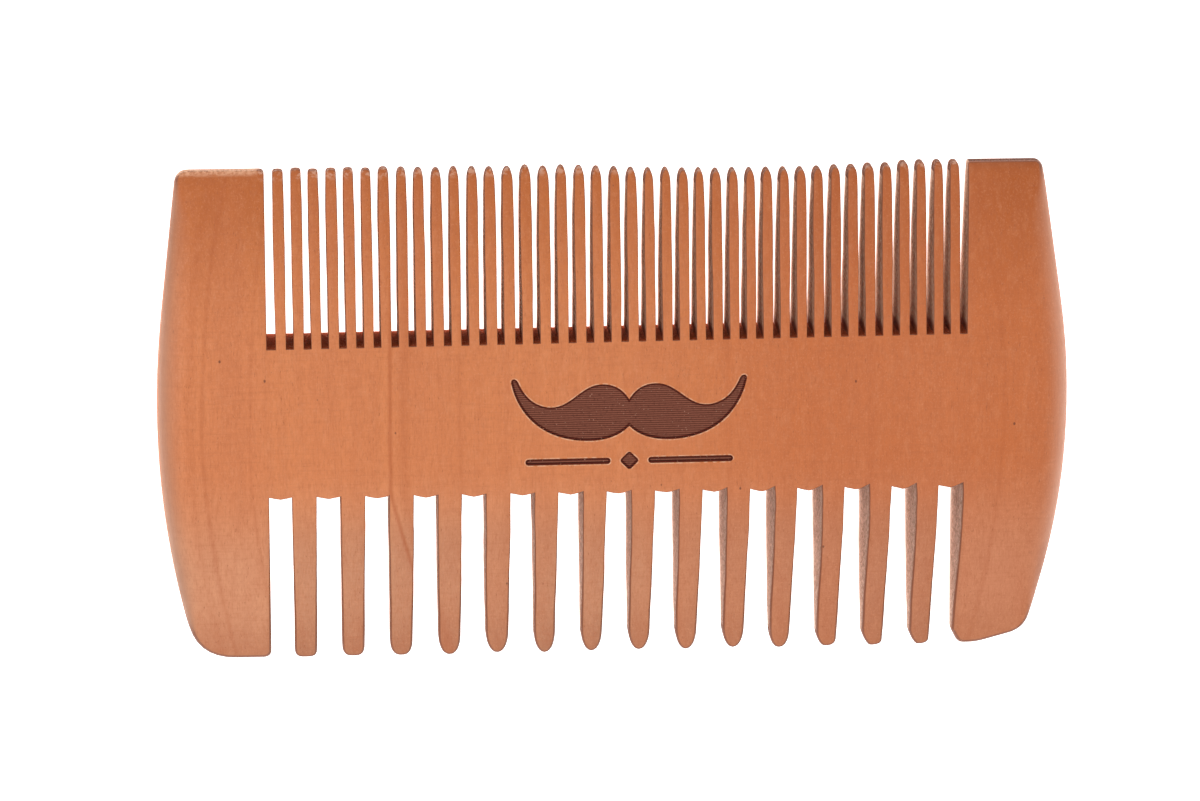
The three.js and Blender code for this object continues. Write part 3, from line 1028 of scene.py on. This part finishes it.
def end_grain_material():
    """End grain: dark on the teeth and darkest on the right guard; on the left guard a painted
    sheen makes it pale.
    """
    s = Shader("comb_end_grain", 0.8, 0.2)
    pores = s.ramp(s.noise((4.0, 4.0, 4.0), 3, 0.75), 0.35, 0.65)
    past_left_guard = s.ramp(s.axis("X"), -HALF_FIELD - 0.6, -HALF_FIELD + 0.2)
    # Painted sheen: the pale end grain of the left guard.
    pale = s.mix(pores, srgb(224, 182, 154), srgb(194, 140, 110))
    dark = s.mix(pores, srgb(170, 110, 80), srgb(96, 52, 34))
    right_guard = s.ramp(s.axis("X"), HALF_FIELD - 0.2, HALF_FIELD + 0.2)
    dark = s.tint(dark, right_guard, srgb(84, 42, 28), 0.6)
    s.colour(s.mix(past_left_guard, pale, dark))
    s.bump(pores, 0.08, 0.9)
    return s.material


def engraved_material(name, light, dark):
    """A laser-burnt surface with the close scan lines of the beam."""
    s = Shader(name, 0.85, 0.15)
    jitter = s.math("MULTIPLY", s.noise((1.5, 3.0, 1.5), 2), 0.9)
    phase = s.math("MULTIPLY", s.axis("Y"), 2 * math.pi / SCAN_PITCH)
    wave = s.math("SINE", s.math("ADD", phase, jitter))
    lines = s.ramp(wave, -1.0, 1.0)
    colour = s.mix(lines, dark, light)
    soot = s.noise((3.5, 3.5, 3.5), 3, 0.7)
    colour = s.mix(s.ramp(soot, 0.5, 0.8, 0.0, 0.6), colour, srgb(58, 24, 16))
    ash = s.ramp(s.noise((4.5, 4.5, 4.5), 1), 0.7, 0.76)
    colour = s.tint(colour, ash, srgb(196, 150, 128), 0.6)
    s.colour(colour)
    s.bump(lines, 0.03, 0.7)
    return s.material


def lip_material():
    """The wood just around the engraving, paler in patches: a painted highlight along the raised
    lip.
    """
    s = Shader("comb_engraved_lip", 0.55, 0.3)
    colour = wood_colour(s)[0]
    lip_highlight = s.ramp(s.noise((2.0, 2.0, 2.0), 2), 0.3, 0.65)
    s.colour(s.tint(colour, lip_highlight, srgb(246, 196, 160), 0.6))
    return s.material


# ---- stage ------------------------------------------------------------------------------------

CAMERA_PLACE = Vector((-37.54, 134.67, 504.81))
CAMERA_TARGET = Vector((-1.52, 1.05, 4.0))
CAMERA_ROLL = -0.19                       # degrees, away from the comb's +Y as up
CAMERA_LENS = 141.92                      # on a sensor of CAMERA_SENSOR
CAMERA_SENSOR = 36.0
FLOOR_HALF = 3.0                          # metres
FLOOR_GLOW = 1.3                          # keeps the table white, as in the photo
WORLD_STRENGTH = 0.53
# Name, place and size in metres, radiance.
SOFTBOXES = [
    ("key_softbox", (-0.28, 0.02, 0.55), 0.4, 2.5),
    ("front_softbox", (0.0, -0.5, 0.55), 0.5, 1.2),
    ("left_softbox", (-0.6, 0.1, 0.35), 0.4, 0.9),
    ("right_softbox", (0.6, 0.1, 0.35), 0.4, 0.9),
]


def add_camera():
    data = bpy.data.cameras.new("camera")
    data.sensor_width = CAMERA_SENSOR
    data.lens = CAMERA_LENS
    data.clip_start = 0.01
    camera = bpy.data.objects.new("camera", data)
    bpy.context.scene.collection.objects.link(camera)
    backward = (CAMERA_PLACE - CAMERA_TARGET).normalized()
    right = Vector((0, 1, 0)).cross(backward).normalized()
    up = backward.cross(right)
    turn = Matrix((right, up, backward)).transposed().to_4x4()
    roll = Matrix.Rotation(math.radians(CAMERA_ROLL), 4, "Z")
    camera.matrix_world = Matrix.Translation(CAMERA_PLACE * MM) @ turn @ roll
    bpy.context.scene.camera = camera


def add_floor():
    mesh = bpy.data.meshes.new("floor")
    corners = [(-1, -1), (1, -1), (1, 1), (-1, 1)]
    mesh.from_pydata([(x * FLOOR_HALF, y * FLOOR_HALF, 0) for x, y in corners], [], [(0, 1, 2, 3)])
    floor = bpy.data.objects.new("floor", mesh)
    bpy.context.scene.collection.objects.link(floor)
    material = bpy.data.materials.new("white_table")
    material.use_nodes = True
    surface = material.node_tree.nodes["Principled BSDF"]
    surface.inputs["Base Color"].default_value = (0.9, 0.9, 0.9, 1)
    surface.inputs["Roughness"].default_value = 0.7
    surface.inputs["Emission Color"].default_value = (1, 1, 1, 1)
    surface.inputs["Emission Strength"].default_value = FLOOR_GLOW
    mesh.materials.append(material)


def add_softbox(name, place, size, radiance):
    """A square light at place, facing the comb."""
    data = bpy.data.lights.new(name, "AREA")
    data.shape = "SQUARE"
    data.size = size
    data.energy = radiance * math.pi * size**2
    lamp = bpy.data.objects.new(name, data)
    bpy.context.scene.collection.objects.link(lamp)
    lamp.location = place
    lamp.rotation_mode = "QUATERNION"
    lamp.rotation_quaternion = Vector(place).to_track_quat("Z", "Y")


def add_world():
    world = bpy.data.worlds.new("studio")
    bpy.context.scene.world = world
    world.use_nodes = True
    background = world.node_tree.nodes["Background"]
    background.inputs["Color"].default_value = (1.0, 1.0, 1.0, 1)
    background.inputs["Strength"].default_value = WORLD_STRENGTH


# ---- make the scene -----------------------------------------------------------------------------

comb = make_object("comb_board", build_board(), [
    wood_material(),
    sawn_material(),
    scorched_material(),
    end_grain_material(),
    engraved_material("comb_engraved_floor", srgb(140, 84, 66), srgb(92, 48, 36)),
    # The rim is darker than the floor: painted shade along the edge of the recess.
    engraved_material("comb_engraved_rim", srgb(104, 42, 28), srgb(58, 20, 12)),
    lip_material(),
])
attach(comb, "root")
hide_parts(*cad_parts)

add_camera()
add_floor()
add_world()
for softbox in SOFTBOXES:
    add_softbox(*softbox)
bpy.context.scene.view_settings.view_transform = "Standard"
